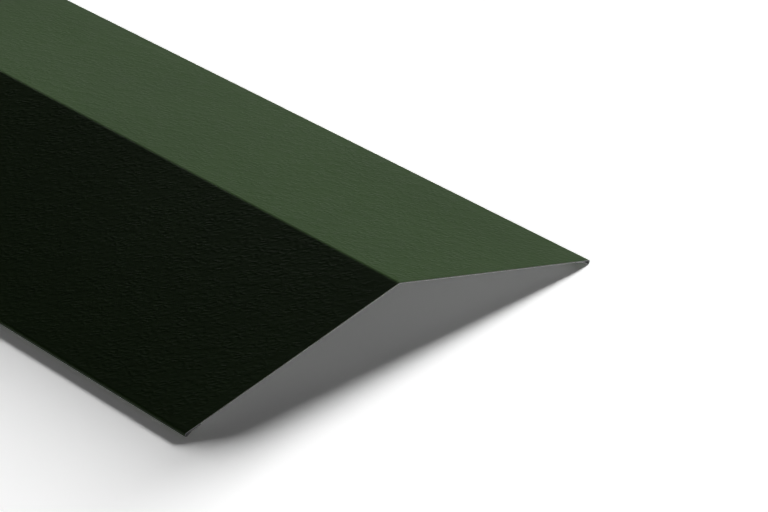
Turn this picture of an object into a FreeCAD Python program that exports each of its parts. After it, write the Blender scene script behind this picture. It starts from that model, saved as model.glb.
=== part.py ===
import FreeCAD, Part
import math
import os

# Ridge flashing: one length of coated steel sheet, folded along the middle to a
# shallow upside-down V, with both long edges turned under into hems.
# All sizes are in millimetres and degrees. X runs along the ridge and Z is up.
# The origin is on the ground that the hems stand on, midway along and below the ridge.

# Driving dimensions
LENGTH = 3000.0
# each leg, from the sharp corner line of the ridge to the outside of its hem
LEG_WIDTH = 150.0
# between the undersides of the two legs
FOLD_ANGLE = 152.5
# steel with its coating
SHEET_THICKNESS = 0.7
RIDGE_INSIDE_RADIUS = 3.5
# the open loop at each long edge
HEM_INSIDE_RADIUS = 0.8
# from the outside of the loop to the cut edge of the return
HEM_WIDTH = 11.0
# how far the loop turns past a half turn, which closes it to a teardrop
HEM_OVERBEND = 25.0
# the small bend that lays the end of the return along the leg
HEM_SET_RADIUS = 0.6
# left between the return and the leg above it
HEM_GAP = 0.1

# Sizes that follow from them
HALF_TURN = 180.0
PITCH = (HALF_TURN - FOLD_ANGLE) / 2
HEM_OUTSIDE_RADIUS = HEM_INSIDE_RADIUS + SHEET_THICKNESS
RIDGE_OUTSIDE_RADIUS = RIDGE_INSIDE_RADIUS + SHEET_THICKNESS
# from the coated face of the leg down to the coated face of the return
HEM_DEPTH = 2 * SHEET_THICKNESS + HEM_GAP


def sine(angle):
    return math.sin(math.radians(angle))


def cosine(angle):
    return math.cos(math.radians(angle))


def tangent(angle):
    return math.tan(math.radians(angle))


def leg_flat():
    """Length of a leg's flat between the ridge bend and the hem loop."""
    return LEG_WIDTH - RIDGE_OUTSIDE_RADIUS * tangent(PITCH) - HEM_OUTSIDE_RADIUS


def hem_slope():
    """Length of the slanting flat that brings the return from the loop up to the leg."""
    loop_drop = HEM_OUTSIDE_RADIUS * (1 + cosine(HEM_OVERBEND))
    set_rise = HEM_SET_RADIUS * (1 - cosine(HEM_OVERBEND))
    return (loop_drop - set_rise - HEM_DEPTH) / sine(HEM_OVERBEND)


def hem_flat():
    """Length of the flat at the end of the return, parallel to the leg."""
    loop_reach = HEM_OUTSIDE_RADIUS * (1 + sine(HEM_OVERBEND))
    slope_reach = hem_slope() * cosine(HEM_OVERBEND)
    set_reach = HEM_SET_RADIUS * sine(HEM_OVERBEND)
    return HEM_WIDTH - loop_reach - slope_reach - set_reach


def ridge_corner_height():
    """Height of the sharp corner line of the ridge, with both hem loops on the ground."""
    loop_drop = HEM_OUTSIDE_RADIUS * (1 + cosine(PITCH))
    return (LEG_WIDTH - HEM_OUTSIDE_RADIUS) * sine(PITCH) + loop_drop


def along(heading):
    """Unit vector of a heading in the section's plane, counted from +Y towards +Z."""
    return FreeCAD.Vector(0, cosine(heading), sine(heading))


def right_of(heading):
    """Unit vector square to a heading, on its right."""
    return along(heading - HALF_TURN / 2)


def flat(length):
    """One flat of the strip, as a step of the walk along it."""

    def step(point, heading):
        end = point + along(heading) * length
        across = right_of(heading) * SHEET_THICKNESS
        coated = Part.LineSegment(point, end).toShape()
        bare = Part.LineSegment(point + across, end + across).toShape()
        return coated, bare, end, heading

    return step


def bend(angle, inside_radius):
    """One bend of the strip: a positive angle turns right, with the bare face inside."""
    to_right = angle > 0
    coated_radius = inside_radius + SHEET_THICKNESS if to_right else inside_radius
    bare_radius = inside_radius if to_right else inside_radius + SHEET_THICKNESS
    side = 1 if to_right else -1

    def step(point, heading):
        centre = point + right_of(heading) * side * coated_radius

        def arc(radius):
            headings = [heading, heading - angle / 2, heading - angle]
            points = [centre - right_of(h) * side * radius for h in headings]
            return Part.Arc(*points).toShape(), points[-1]

        coated, end = arc(coated_radius)
        bare, _ = arc(bare_radius)
        return coated, bare, end, heading - angle

    return step


def strip_section():
    """Outline of the folded sheet, walked from one cut edge to the other.

    The coated face is on the left all the way: it is the underside of the first
    return, the top of both legs, and the underside of the second return.
    """
    hem = [
        flat(hem_flat()),
        bend(-HEM_OVERBEND, HEM_SET_RADIUS),
        flat(hem_slope()),
        bend(HALF_TURN + HEM_OVERBEND, HEM_INSIDE_RADIUS),
    ]
    ridge = bend(2 * PITCH, RIDGE_INSIDE_RADIUS)
    leg = flat(leg_flat())
    walk = hem + [leg, ridge, leg] + hem[::-1]

    heading = HALF_TURN + PITCH
    reach = LEG_WIDTH - HEM_WIDTH
    start = FreeCAD.Vector(-LENGTH / 2, 0, ridge_corner_height())
    start += along(heading) * reach - right_of(heading) * HEM_DEPTH

    point = start
    coated_edges = []
    bare_edges = []
    for step in walk:
        coated, bare, point, heading = step(point, heading)
        coated_edges.append(coated)
        bare_edges.append(bare)
    first_cut = Part.LineSegment(start, bare_edges[0].Vertexes[0].Point).toShape()
    last_cut = Part.LineSegment(point, bare_edges[-1].Vertexes[-1].Point).toShape()
    outline = coated_edges + [last_cut] + bare_edges[::-1] + [first_cut]
    return Part.Face(Part.Wire(outline))


def ridge_flashing():
    return strip_section().extrude(FreeCAD.Vector(LENGTH, 0, 0))


os.makedirs("parts", exist_ok=True)
ridge_flashing().exportStep("parts/ridge_flashing.step")
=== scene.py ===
import math

import bpy
from mathutils import Matrix, Vector


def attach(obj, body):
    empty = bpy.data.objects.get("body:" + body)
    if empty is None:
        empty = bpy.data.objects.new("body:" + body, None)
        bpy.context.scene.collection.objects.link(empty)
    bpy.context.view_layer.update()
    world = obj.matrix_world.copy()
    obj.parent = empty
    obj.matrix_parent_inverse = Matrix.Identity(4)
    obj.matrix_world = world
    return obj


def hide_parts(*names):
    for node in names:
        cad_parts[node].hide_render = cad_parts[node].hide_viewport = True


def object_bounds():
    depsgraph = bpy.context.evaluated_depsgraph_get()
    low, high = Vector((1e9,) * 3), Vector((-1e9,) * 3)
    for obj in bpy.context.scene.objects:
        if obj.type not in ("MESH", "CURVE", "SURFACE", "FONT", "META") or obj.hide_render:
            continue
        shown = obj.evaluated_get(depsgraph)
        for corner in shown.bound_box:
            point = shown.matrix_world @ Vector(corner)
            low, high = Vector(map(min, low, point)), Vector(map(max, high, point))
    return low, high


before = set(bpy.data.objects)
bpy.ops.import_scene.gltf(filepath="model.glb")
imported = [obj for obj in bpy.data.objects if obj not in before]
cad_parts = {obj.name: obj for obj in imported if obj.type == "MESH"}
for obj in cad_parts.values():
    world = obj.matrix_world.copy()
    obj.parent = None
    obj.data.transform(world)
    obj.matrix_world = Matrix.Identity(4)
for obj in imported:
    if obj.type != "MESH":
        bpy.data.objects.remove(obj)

cad_low, cad_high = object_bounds()

# One length of ridge flashing: a coated steel sheet folded along the middle to a shallow
# upside-down V, with both long edges turned under into hems.
# Lengths are in metres and angles in degrees, except where a name says otherwise.
# X runs along the ridge and Z is up.

# The folded sheet
LEG_WIDTH = 0.150
FOLD_ANGLE = 152.5
SHEET_THICKNESS = 0.0007
RIDGE_INSIDE_RADIUS = 0.0035
HEM_INSIDE_RADIUS = 0.0008
HEM_WIDTH = 0.011
HEM_OVERBEND = 25.0
HEM_SET_RADIUS = 0.0006
HEM_GAP = 0.0001

# The coats of the sheet, on its two faces
COATING = 0.0002
BACKING = 0.00003

# How finely the mesh follows the sheet
STATION_SPACING = 0.0125
LEG_STRIP = 0.010
ARC_STEP = 8.0
LEAST_ARC_STEPS = 2
# narrow strip beside each bend, which keeps the flats flat under smooth shading
BEND_MARGIN = 0.0006
# the largest share of a short flat that such a strip may take
MOST_MARGIN = 0.25
SHARP_ANGLE = 50.0

# Slight waviness of the two legs, which folding leaves between the stiff ridge and hems.
# Each wave has its length, its phase in radians and its share of the height.
WAVE_HEIGHT = 0.00022
WAVES = ((0.83, 0.4, 1.0), (0.47, 2.1, 0.7), (0.29, 4.4, 0.45))
# phase in radians that the rear leg adds to them and the front leg takes off
LEG_PHASE = 1.0

# Sizes that follow from them
HALF_TURN = 180.0
PITCH = (HALF_TURN - FOLD_ANGLE) / 2
HEM_OUTSIDE_RADIUS = HEM_INSIDE_RADIUS + SHEET_THICKNESS
RIDGE_OUTSIDE_RADIUS = RIDGE_INSIDE_RADIUS + SHEET_THICKNESS
HEM_DEPTH = 2 * SHEET_THICKNESS + HEM_GAP


def sine(angle):
    return math.sin(math.radians(angle))


def cosine(angle):
    return math.cos(math.radians(angle))


def tangent(angle):
    return math.tan(math.radians(angle))


# Section of the sheet

def ridge_corner_height():
    """Height of the sharp corner line of the ridge, with both hems on the floor."""
    loop_drop = HEM_OUTSIDE_RADIUS * (1 + cosine(PITCH))
    return (LEG_WIDTH - HEM_OUTSIDE_RADIUS) * sine(PITCH) + loop_drop


def hem_slope():
    """Length of the slanting flat that brings the return from the loop up to the leg."""
    loop_drop = HEM_OUTSIDE_RADIUS * (1 + cosine(HEM_OVERBEND))
    set_rise = HEM_SET_RADIUS * (1 - cosine(HEM_OVERBEND))
    return (loop_drop - set_rise - HEM_DEPTH) / sine(HEM_OVERBEND)


def hem_flat():
    """Length of the flat at the end of the return, parallel to the leg."""
    loop_reach = HEM_OUTSIDE_RADIUS * (1 + sine(HEM_OVERBEND))
    slope_reach = hem_slope() * cosine(HEM_OVERBEND)
    return HEM_WIDTH - loop_reach - slope_reach - HEM_SET_RADIUS * sine(HEM_OVERBEND)


def leg_flat():
    """Length of a leg's flat between the ridge bend and the hem loop."""
    return LEG_WIDTH - RIDGE_OUTSIDE_RADIUS * tangent(PITCH) - HEM_OUTSIDE_RADIUS


def along(heading):
    """Unit vector of a heading in the section's plane, counted from +Y towards +Z."""
    return Vector((0.0, cosine(heading), sine(heading)))


def right_of(heading):
    """Unit vector square to a heading, on its right."""
    return along(heading - HALF_TURN / 2)


class Station:
    """One line along the sheet: its point on the coated face, the heading there, how
    sharply it is bent (0 to 1) and how free it is to wave (0 to 1)."""

    def __init__(self, point, heading, bent, free):
        self.point = point
        self.heading = heading
        self.bent = bent
        self.free = free


def flat_stations(start, heading, length, is_leg):
    if is_leg:
        strips = round(length / LEG_STRIP)
        middle = [i / strips for i in range(1, strips)]
        margin = BEND_MARGIN / length
    else:
        middle = []
        margin = min(BEND_MARGIN / length, MOST_MARGIN)
    for share in [margin] + middle + [1 - margin, 1.0]:
        free = math.sin(math.pi * share) ** 2 if is_leg else 0.0
        yield Station(start + along(heading) * length * share, heading, 0.0, free)


def bend_stations(start, heading, angle, inside_radius):
    """A positive angle turns right, with the bare face inside."""
    side = 1 if angle > 0 else -1
    radius = inside_radius + SHEET_THICKNESS if angle > 0 else inside_radius
    centre = start + right_of(heading) * side * radius
    steps = max(LEAST_ARC_STEPS, round(abs(angle) / ARC_STEP))
    for i in range(1, steps + 1):
        turned = heading - angle * i / steps
        point = centre - right_of(turned) * side * radius
        bent = math.sin(math.pi * i / steps)
        yield Station(point, turned, bent, 0.0)


def section_stations():
    """The whole section, walked from one cut edge to the other with the coated face on
    the left."""
    hem = [
        (flat_stations, hem_flat(), False),
        (bend_stations, -HEM_OVERBEND, HEM_SET_RADIUS),
        (flat_stations, hem_slope(), False),
        (bend_stations, HALF_TURN + HEM_OVERBEND, HEM_INSIDE_RADIUS),
    ]
    ridge = (bend_stations, 2 * PITCH, RIDGE_INSIDE_RADIUS)
    leg = (flat_stations, leg_flat(), True)
    heading = HALF_TURN + PITCH
    start = Vector((0.0, 0.0, ridge_corner_height()))
    start += along(heading) * (LEG_WIDTH - HEM_WIDTH) - right_of(heading) * HEM_DEPTH
    stations = [Station(start, heading, 0.0, 0.0)]
    for make, size, extra in hem + [leg, ridge, leg] + hem[::-1]:
        last = stations[-1]
        stations.extend(make(last.point, last.heading, size, extra))
    return stations


def waviness(x, y):
    """Height of the faint waves of a leg at a place along the sheet."""
    leg_phase = LEG_PHASE if y > 0 else -LEG_PHASE
    total = sum(
        share * math.sin(2 * math.pi * x / length + phase + leg_phase)
        for length, phase, share in WAVES
    )
    return WAVE_HEIGHT * total


# Mesh of the sheet: coated face, backed face, and the cut edges in their three layers.
# The depths are counted from the coated face.

TOP_COAT, BACK_COAT, STEEL = range(3)
LAYER_DEPTHS = (0.0, COATING, SHEET_THICKNESS - BACKING, SHEET_THICKNESS)
LAYER_MATERIALS = (TOP_COAT, STEEL, BACK_COAT)
COATED, BARE = 0, len(LAYER_DEPTHS) - 1
# The corners of a quad, counted from its first one: steps along the ridge, along the
# section and down the layers
ON_FACE = ((0, 0, 0), (1, 0, 0), (1, 1, 0), (0, 1, 0))
ON_END = ((0, 0, 0), (0, 1, 0), (0, 1, 1), (0, 0, 1))
ON_HEM_EDGE = ((0, 0, 0), (1, 0, 0), (1, 0, 1), (0, 0, 1))


def sheet_mesh():
    stations = section_stations()
    length = cad_high.x - cad_low.x
    columns = round(length / STATION_SPACING)
    last_station = len(stations) - 1
    points, bent, index = [], [], {}

    def vertex(column, i, layer):
        key = (column, i, layer)
        if key not in index:
            station = stations[i]
            x = cad_low.x + length * column / columns
            wave = waviness(x, station.point.y) * station.free
            inward = right_of(station.heading)
            point = station.point + inward * (LAYER_DEPTHS[layer] - wave)
            index[key] = len(points)
            points.append((x, point.y, point.z))
            bent.append(station.bent)
        return index[key]

    faces, materials = [], []

    def quad(first, steps, material, flip):
        corners = [vertex(*map(sum, zip(first, step))) for step in steps]
        faces.append(corners[::-1] if flip else corners)
        materials.append(material)

    for column in range(columns):
        for i in range(last_station):
            quad((column, i, COATED), ON_FACE, TOP_COAT, False)
            quad((column, i, BARE), ON_FACE, BACK_COAT, True)
    for layer, material in enumerate(LAYER_MATERIALS):
        for column in (0, columns):
            for i in range(last_station):
                quad((column, i, layer), ON_END, material, column == columns)
        for i in (0, last_station):
            for column in range(columns):
                quad((column, i, layer), ON_HEM_EDGE, material, i == 0)

    mesh = bpy.data.meshes.new("coated_sheet")
    mesh.from_pydata(points, [], faces)
    mesh.polygons.foreach_set("material_index", materials)
    attribute = mesh.attributes.new("bent", "FLOAT", "POINT")
    attribute.data.foreach_set("value", bent)
    mesh.shade_smooth()
    mesh.set_sharp_from_angle(angle=math.radians(SHARP_ANGLE))
    mesh.update()
    return mesh


# Materials, with linear colours

MM_PER_METRE = 1000.0
# most of a noise's values lie between these
NOISE_ENDS = (0.3, 0.7)
PLASTIC_IOR = 1.5

# Top coat: thick soft plastic, embossed with a leather grain
COAT_COLOUR = (0.0348, 0.0640, 0.0227, 1.0)
COAT_ROUGHNESS = (0.33, 0.38)
COAT_SPECULAR_LEVEL = 0.18
CLOUD_SIZE_MM = 90.0
CLOUD_TONES = (0.96, 1.04)
# the grain's cells are drawn out along one direction of the sheet
GRAIN_CELL_MM = 2.6
GRAIN_TURN = 48.0
GRAIN_STRETCH = 2.0
GRAIN_HEIGHT = 0.00006
# how far the veins between the cells wander, and the size of that wandering in cells
VEIN_WARP_MM = 1.5
VEIN_WARP_CELLS = 1.6
# how wide a vein is, in cells, and how much it darkens the colour
VEIN_WIDTH = 0.35
VEIN_SHADE = 0.95
# patches where the veins fade to their least height
PATCH_CELLS = 2.2
PATCH_ENDS = (0.38, 0.58)
PATCH_LEAST = 0.4
# softer hollows over the cells, and the pores of the coat, as shares of a vein's height
HOLLOW_CELLS = 0.9
HOLLOW_SHARE = 0.4
PORE_SIZE_MM = 0.5
PORE_SHARE = 0.05
# share of the grain that is left where the sheet is bent
BENT_GRAIN = 0.45

# Backing coat: thin, with a slight orange peel
BACK_COLOUR = (0.36, 0.37, 0.36)
BACK_DARKER = 0.93
BACK_ROUGHNESS = (0.42, 0.52)
BACK_CLOUD_SIZE_MM = 60.0
PEEL_SIZE_MM = 1.1
PEEL_HEIGHT = 0.00002
PEEL_STRENGTH = 0.5

# Steel: sheared edge between the coats
STEEL_DARK = (0.30, 0.30, 0.31, 1.0)
STEEL_LIGHT = (0.50, 0.50, 0.50, 1.0)
STEEL_METALLIC = 0.6
STEEL_ROUGHNESS = (0.4, 0.6)
SHEAR_SIZE_MM = 0.35
SHEAR_HEIGHT = 0.00003
SHEAR_STRENGTH = 0.6


class Nodes:
    """Short calls for building one material's nodes."""

    def __init__(self, name):
        self.material = bpy.data.materials.new(name)
        self.material.use_nodes = True
        self.tree = self.material.node_tree
        self.tree.nodes.clear()

    def add(self, kind, **settings):
        node = self.tree.nodes.new(kind)
        for key, value in settings.items():
            setattr(node, key, value)
        return node

    def link(self, source, target):
        self.tree.links.new(source, target)

    def fill(self, socket, value):
        """Links a socket to another one, or sets it to a value."""
        if isinstance(value, bpy.types.NodeSocket):
            self.link(value, socket)
        else:
            socket.default_value = value

    def put(self, node, **values):
        for key, value in values.items():
            self.fill(node.inputs[key.replace("_", " ")], value)

    def math(self, operation, *values):
        node = self.add("ShaderNodeMath", operation=operation)
        for socket, value in zip(node.inputs, values):
            self.fill(socket, value)
        return node.outputs[0]

    def vector_math(self, operation, first, second):
        node = self.add("ShaderNodeVectorMath", operation=operation)
        self.fill(node.inputs[0], first)
        self.fill(node.inputs["Scale" if operation == "SCALE" else 1], second)
        return node.outputs[0]

    def between(self, value, ends, to_ends):
        """Turns the range between two ends into another one, smoothly."""
        node = self.add("ShaderNodeMapRange", interpolation_type="SMOOTHSTEP")
        (low, high), (to_low, to_high) = ends, to_ends
        self.put(node, Value=value, From_Min=low, From_Max=high)
        self.put(node, To_Min=to_low, To_Max=to_high)
        return node.outputs["Result"]

    def coordinates_mm(self):
        """The place on the object in millimetres."""
        place = self.add("ShaderNodeTexCoord").outputs["Object"]
        return self.vector_math("SCALE", place, MM_PER_METRE)

    def noise(self, place, size, detail=2.0, roughness=0.5):
        node = self.add("ShaderNodeTexNoise")
        self.put(node, Vector=place, Scale=1.0 / size, Detail=detail, Roughness=roughness)
        return node

    def bump(self, height, distance, strength=1.0):
        node = self.add("ShaderNodeBump")
        self.put(node, Height=height, Strength=strength, Distance=distance)
        return node.outputs["Normal"]

    def mixed(self, factor, first, second):
        node = self.add("ShaderNodeMix", data_type="RGBA")
        self.put(node, Factor=factor, A=first, B=second)
        return node.outputs["Result"]

    def surface(self, shader):
        output = self.add("ShaderNodeOutputMaterial")
        self.link(shader.outputs[0], output.inputs["Surface"])

    def principled(self, **values):
        node = self.add("ShaderNodeBsdfPrincipled")
        self.put(node, **values)
        self.surface(node)


def leather_veins(n, place):
    """Height of the veins between the cells of a leather grain, 0 to 1."""
    warp = n.noise(place, GRAIN_CELL_MM * VEIN_WARP_CELLS, detail=1.0).outputs["Color"]
    centred = n.vector_math("SUBTRACT", warp, (0.5, 0.5, 0.5))
    moved = n.vector_math("ADD", place, n.vector_math("SCALE", centred, VEIN_WARP_MM))
    cells = n.add("ShaderNodeTexVoronoi", feature="DISTANCE_TO_EDGE")
    n.put(cells, Vector=moved, Scale=1.0 / GRAIN_CELL_MM)
    return n.between(cells.outputs["Distance"], (0.0, VEIN_WIDTH), (1.0, 0.0))


def top_coat():
    n = Nodes("green_leathergrain_coating")
    place = n.coordinates_mm()
    turned = n.add("ShaderNodeMapping", vector_type="TEXTURE")
    n.put(
        turned,
        Vector=place,
        Rotation=(0.0, 0.0, math.radians(GRAIN_TURN)),
        Scale=(GRAIN_STRETCH, 1.0, 1.0),
    )
    drawn = turned.outputs[0]
    patches = n.noise(drawn, GRAIN_CELL_MM * PATCH_CELLS, detail=1.0).outputs["Fac"]
    patches = n.between(patches, PATCH_ENDS, (PATCH_LEAST, 1.0))
    veins = n.math("MULTIPLY", leather_veins(n, drawn), patches)
    hollows = n.noise(drawn, GRAIN_CELL_MM * HOLLOW_CELLS).outputs["Fac"]
    pores = n.noise(place, PORE_SIZE_MM, roughness=0.6).outputs["Fac"]
    height = n.math("MULTIPLY_ADD", hollows, -HOLLOW_SHARE, veins)
    height = n.math("MULTIPLY_ADD", pores, -PORE_SHARE, height)
    bent = n.add("ShaderNodeAttribute", attribute_name="bent").outputs["Fac"]
    height = n.math("MULTIPLY", height, n.between(bent, (0.0, 1.0), (1.0, BENT_GRAIN)))

    cloud = n.noise(place, CLOUD_SIZE_MM, detail=3.0, roughness=0.55).outputs["Fac"]
    shade = n.between(veins, (0.0, 1.0), (1.0, VEIN_SHADE))
    tone = n.math("MULTIPLY", shade, n.between(cloud, NOISE_ENDS, CLOUD_TONES))
    grey = n.add("ShaderNodeCombineColor")
    n.put(grey, Red=tone, Green=tone, Blue=tone)
    colour = n.add("ShaderNodeMix", data_type="RGBA", blend_type="MULTIPLY")
    n.put(colour, Factor=1.0, A=COAT_COLOUR, B=grey.outputs["Color"])
    n.principled(
        Base_Color=colour.outputs["Result"],
        Roughness=n.between(pores, NOISE_ENDS, COAT_ROUGHNESS),
        Normal=n.bump(height, GRAIN_HEIGHT),
        IOR=PLASTIC_IOR,
        Specular_IOR_Level=COAT_SPECULAR_LEVEL,
    )
    return n.material


def back_coat():
    n = Nodes("grey_backing_coat")
    place = n.coordinates_mm()
    peel = n.noise(place, PEEL_SIZE_MM).outputs["Fac"]
    cloud = n.noise(place, BACK_CLOUD_SIZE_MM, detail=3.0).outputs["Fac"]
    light = (*BACK_COLOUR, 1.0)
    dark = (*(BACK_DARKER * channel for channel in BACK_COLOUR), 1.0)
    n.principled(
        Base_Color=n.mixed(n.between(cloud, NOISE_ENDS, (0.0, 1.0)), light, dark),
        Roughness=n.between(peel, NOISE_ENDS, BACK_ROUGHNESS),
        Normal=n.bump(peel, PEEL_HEIGHT, PEEL_STRENGTH),
        IOR=PLASTIC_IOR,
    )
    return n.material


def cut_steel():
    n = Nodes("cut_steel_edge")
    grain = n.noise(n.coordinates_mm(), SHEAR_SIZE_MM, detail=3.0).outputs["Fac"]
    n.principled(
        Base_Color=n.mixed(grain, STEEL_DARK, STEEL_LIGHT),
        Roughness=n.between(grain, NOISE_ENDS, STEEL_ROUGHNESS),
        Normal=n.bump(grain, SHEAR_HEIGHT, SHEAR_STRENGTH),
        Metallic=STEEL_METALLIC,
    )
    return n.material


def build_flashing():
    piece = bpy.data.objects.new("flashing_sheet", sheet_mesh())
    bpy.context.scene.collection.objects.link(piece)
    for material in (top_coat(), back_coat(), cut_steel()):
        piece.data.materials.append(material)
    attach(piece, "root")
    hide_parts("ridge_flashing")


# Studio: floor, far wall, lamps

FLOOR_HALF_SIZE = 60.0
FLOOR_COLOUR = 0.90
# as the camera sees it, where the lit floor comes out white
FLOOR_SEEN_COLOUR = 1.9
FLOOR_GLOW = 0.07
# as the coat and the cut metal mirror it
FLOOR_MIRRORED_GLOW = 0.3
WALL_RADIUS = 55.0
WALL_HEIGHT = 6.0
WALL_SIDES = 96
WHITE = (1.0, 1.0, 1.0, 1.0)
WORLD_LIGHT = 0.006
# Each lamp has its azimuth, elevation, softness, strength, and whether the object mirrors
# it. The azimuth is counted from +Y towards -X.
LAMPS = {
    "key": (12.0, 12.2, 14.0, 7.3, False),
    "sheen": (55.7, 29.5, 3.0, 0.034, True),
    "fill": (-148.0, 2.0, 4.0, 0.38, False),
}


def ways_of_seeing(n):
    """Two masks: what the camera sees directly, and what it sees in or through a
    surface. Both are 0 for the light that the stage throws on the object."""
    path = n.add("ShaderNodeLightPath")
    glossy, through = path.outputs["Is Glossy Ray"], path.outputs["Is Transmission Ray"]
    return path.outputs["Is Camera Ray"], n.math("MAXIMUM", glossy, through)


def floor_material():
    n = Nodes("pale_floor")
    direct, mirrored = ways_of_seeing(n)
    diffuse = n.add("ShaderNodeBsdfDiffuse")
    shade = n.between(direct, (0.0, 1.0), (FLOOR_COLOUR, FLOOR_SEEN_COLOUR))
    n.put(diffuse, Color=shade)
    glow = n.add("ShaderNodeEmission")
    mirrored_glow = n.math("MULTIPLY", mirrored, FLOOR_MIRRORED_GLOW)
    n.put(glow, Strength=n.math("MULTIPLY_ADD", direct, FLOOR_GLOW, mirrored_glow))
    both = n.add("ShaderNodeAddShader")
    n.link(diffuse.outputs[0], both.inputs[0])
    n.link(glow.outputs[0], both.inputs[1])
    n.surface(both)
    return n.material


def wall_material():
    n = Nodes("white_wall")
    glow = n.add("ShaderNodeEmission")
    n.put(glow, Strength=n.math("MAXIMUM", *ways_of_seeing(n)))
    n.surface(glow)
    return n.material


def stage_object(name, points, faces, material):
    mesh = bpy.data.meshes.new(name)
    mesh.from_pydata(points, [], faces)
    mesh.materials.append(material)
    piece = bpy.data.objects.new(name, mesh)
    bpy.context.scene.collection.objects.link(piece)
    return piece


def build_stage():
    s = FLOOR_HALF_SIZE
    corners = [(-s, -s, 0.0), (s, -s, 0.0), (s, s, 0.0), (-s, s, 0.0)]
    stage_object("floor", corners, [(0, 1, 2, 3)], floor_material())
    ring = []
    for i in range(WALL_SIDES):
        turn = 2 * math.pi * i / WALL_SIDES
        x, y = WALL_RADIUS * math.cos(turn), WALL_RADIUS * math.sin(turn)
        ring += [(x, y, 0.0), (x, y, WALL_HEIGHT)]
    count = len(ring)
    faces = [
        (i, i + 1, (i + 3) % count, (i + 2) % count)
        for i in range(0, count, 2)
    ]
    wall = stage_object("far_wall", ring, faces, wall_material())
    # the wall is only a background: it neither lights the object nor is mirrored in it
    wall.visible_diffuse = False
    wall.visible_glossy = False
    wall.visible_shadow = False


def add_lamp(name, azimuth, elevation, softness, strength, mirrored):
    lamp = bpy.data.lights.new(name, "SUN")
    lamp.energy = strength
    lamp.angle = math.radians(softness)
    holder = bpy.data.objects.new(name, lamp)
    towards_lamp = Vector((
        -sine(azimuth) * cosine(elevation),
        cosine(azimuth) * cosine(elevation),
        sine(elevation),
    ))
    holder.rotation_mode = "QUATERNION"
    holder.rotation_quaternion = towards_lamp.to_track_quat("Z", "Y")
    holder.visible_glossy = mirrored
    bpy.context.scene.collection.objects.link(holder)


def build_light():
    world = bpy.data.worlds.new("studio")
    bpy.context.scene.world = world
    world.use_nodes = True
    background = world.node_tree.nodes["Background"]
    background.inputs["Color"].default_value = WHITE
    background.inputs["Strength"].default_value = WORLD_LIGHT
    for name, settings in LAMPS.items():
        add_lamp(name, *settings)


# The photograph's camera: its frame, its lens in pixels, how it is turned, how far it is
# from the near end of the ridge, and where it sees that end

PHOTO_WIDTH_PX = 768
PHOTO_HEIGHT_PX = 512
LENS_PX = 3349.2
CAMERA_AZIMUTH = 46.34
CAMERA_ELEVATION = 27.672
CAMERA_ROLL = 1.792
CAMERA_DEPTH = 1.7437
RIDGE_END_PX = (399.465, 282.621)
SENSOR_WIDTH_MM = 36.0
CLIP_START = 0.05
CLIP_END = 240.0


def build_camera():
    a, e = CAMERA_AZIMUTH, CAMERA_ELEVATION
    back = Vector((sine(a) * cosine(e), -cosine(a) * cosine(e), sine(e)))
    level_right = Vector((cosine(a), sine(a), 0.0))
    level_up = back.cross(level_right)
    right = level_right * cosine(CAMERA_ROLL) + level_up * sine(CAMERA_ROLL)
    up = level_up * cosine(CAMERA_ROLL) - level_right * sine(CAMERA_ROLL)
    ridge_end = Vector((cad_high.x, 0.0, ridge_corner_height()))
    across = (RIDGE_END_PX[0] - PHOTO_WIDTH_PX / 2) / LENS_PX
    down = (RIDGE_END_PX[1] - PHOTO_HEIGHT_PX / 2) / LENS_PX
    place = ridge_end - (right * across - up * down - back) * CAMERA_DEPTH

    data = bpy.data.cameras.new("camera")
    data.sensor_fit = "HORIZONTAL"
    data.sensor_width = SENSOR_WIDTH_MM
    data.lens = LENS_PX / PHOTO_WIDTH_PX * SENSOR_WIDTH_MM
    data.clip_start = CLIP_START
    data.clip_end = CLIP_END
    camera = bpy.data.objects.new("camera", data)
    columns = Matrix((right, up, back)).transposed()
    camera.matrix_world = Matrix.Translation(place) @ columns.to_4x4()
    bpy.context.scene.collection.objects.link(camera)
    bpy.context.scene.camera = camera


build_flashing()
build_stage()
build_light()
build_camera()
bpy.context.scene.view_settings.view_transform = "Standard"
